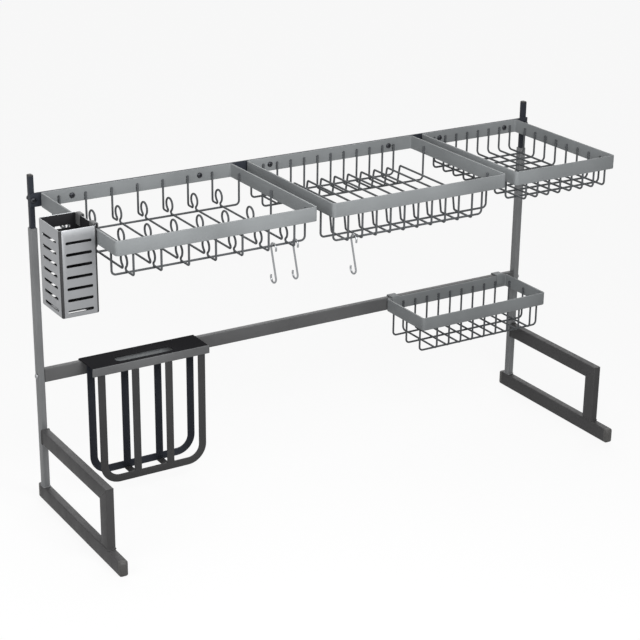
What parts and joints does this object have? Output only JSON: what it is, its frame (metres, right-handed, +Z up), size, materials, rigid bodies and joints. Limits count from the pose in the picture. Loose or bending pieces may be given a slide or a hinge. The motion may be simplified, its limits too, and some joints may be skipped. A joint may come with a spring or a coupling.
{
  "type": "over-sink dish rack",
  "caption": "Over-sink dish rack: raised bowl, plate and fruit racks on a footed steel frame, with a chopstick box, a knife holder, a soap caddy and swinging hooks.",
  "frame": {"origin": "middle of the bottom of the whole rack's box, on the counter that the feet stand on", "axes": "+X runs along the rack to the right as seen from the front, -Y faces the front, +Z is up"},
  "size_m": [0.8898, 0.282, 0.492],
  "materials": {
    "dark_grey_paint": "satin powder coat",
    "dark_grey_wire_paint": "satin powder coat on round wire",
    "light_grey_paint": "satin paint",
    "bright_steel": "polished steel",
    "black_plastic": "matte moulded plastic"
  },
  "bodies": {
    "rack": {"bowl_rack_nut_1": "bright_steel", "bowl_rack_nut_2": "bright_steel", "bowl_rack_rim": "dark_grey_paint", "bowl_rack_screw_1": "bright_steel", "bowl_rack_screw_2": "bright_steel", "bowl_rack_wire_bed": "dark_grey_wire_paint", "crossbar": "dark_grey_paint", "fruit_rack_nut_1": "bright_steel", "fruit_rack_nut_2": "bright_steel", "fruit_rack_rim": "dark_grey_paint", "fruit_rack_screw_1": "bright_steel", "fruit_rack_screw_2": "bright_steel", "fruit_rack_wire_bed": "dark_grey_wire_paint", "left_base_bar": "dark_grey_paint", "left_base_front_cap": "black_plastic", "left_base_rear_cap": "black_plastic", "left_crossbar_plug": "black_plastic", "left_crossbar_screw": "bright_steel", "left_foot_rail": "dark_grey_paint", "left_front_upright": "dark_grey_paint", "left_lower_post": "dark_grey_paint", "left_post_cap": "black_plastic", "left_rail_nut": "bright_steel", "left_rail_screw": "bright_steel", "left_upper_post": "dark_grey_paint", "plate_rack_nut_1": "bright_steel", "plate_rack_nut_2": "bright_steel", "plate_rack_rim": "dark_grey_paint", "plate_rack_screw_1": "bright_steel", "plate_rack_screw_2": "bright_steel", "plate_rack_wire_bed": "dark_grey_wire_paint", "rear_rail": "dark_grey_paint", "right_base_bar": "dark_grey_paint", "right_base_front_cap": "black_plastic", "right_base_rear_cap": "black_plastic", "right_crossbar_plug": "black_plastic", "right_crossbar_screw": "bright_steel", "right_foot_rail": "dark_grey_paint", "right_front_upright": "dark_grey_paint", "right_lower_post": "dark_grey_paint", "right_post_cap": "black_plastic", "right_rail_nut": "bright_steel", "right_rail_screw": "bright_steel", "right_upper_post": "dark_grey_paint"},
    "chopstick_holder_unit": {"chopstick_holder": "light_grey_paint", "chopstick_holder_front_hook": "dark_grey_paint", "chopstick_holder_rear_hook": "dark_grey_paint"},
    "knife_holder_unit": {"knife_tray": "dark_grey_paint", "knife_front_loop": "dark_grey_paint", "knife_rear_loop": "dark_grey_paint", "knife_bottom_strap_1": "dark_grey_paint", "knife_bottom_strap_2": "dark_grey_paint"},
    "soap_caddy_unit": {"soap_caddy_rim": "dark_grey_paint", "soap_caddy_wire_bed": "dark_grey_wire_paint", "soap_caddy_left_hook": "dark_grey_paint", "soap_caddy_right_hook": "dark_grey_paint"},
    "utensil_hook_1_unit": {"utensil_hook_1": "bright_steel"},
    "utensil_hook_2_unit": {"utensil_hook_2": "bright_steel"},
    "utensil_hook_3_unit": {"utensil_hook_3": "bright_steel"}
  },
  "joints": [
    {"name": "chopstick_holder_lift", "type": "slide", "parent": "rack", "child": "chopstick_holder_unit", "axis": [0, 0, 1], "range_m": [0, 0.06]},
    {"name": "knife_holder_lift", "type": "slide", "parent": "rack", "child": "knife_holder_unit", "axis": [0, 0, 1], "range_m": [0, 0.05]},
    {"name": "soap_caddy_lift", "type": "slide", "parent": "rack", "child": "soap_caddy_unit", "axis": [0, 0, 1], "range_m": [0, 0.05]},
    {"name": "utensil_hook_1_swing", "type": "hinge", "parent": "rack", "child": "utensil_hook_1_unit", "pos_m": [-0.1501, -0.1001, 0.4139], "axis": [1, 0, 0], "range_deg": [-40, 40]},
    {"name": "utensil_hook_2_swing", "type": "hinge", "parent": "rack", "child": "utensil_hook_2_unit", "pos_m": [-0.1161, -0.1001, 0.4139], "axis": [1, 0, 0], "range_deg": [-40, 40]},
    {"name": "utensil_hook_3_swing", "type": "hinge", "parent": "rack", "child": "utensil_hook_3_unit", "pos_m": [-0.0346, -0.11894, 0.41236], "axis": [1, 0, 0], "range_deg": [-40, 40]}
  ]
}
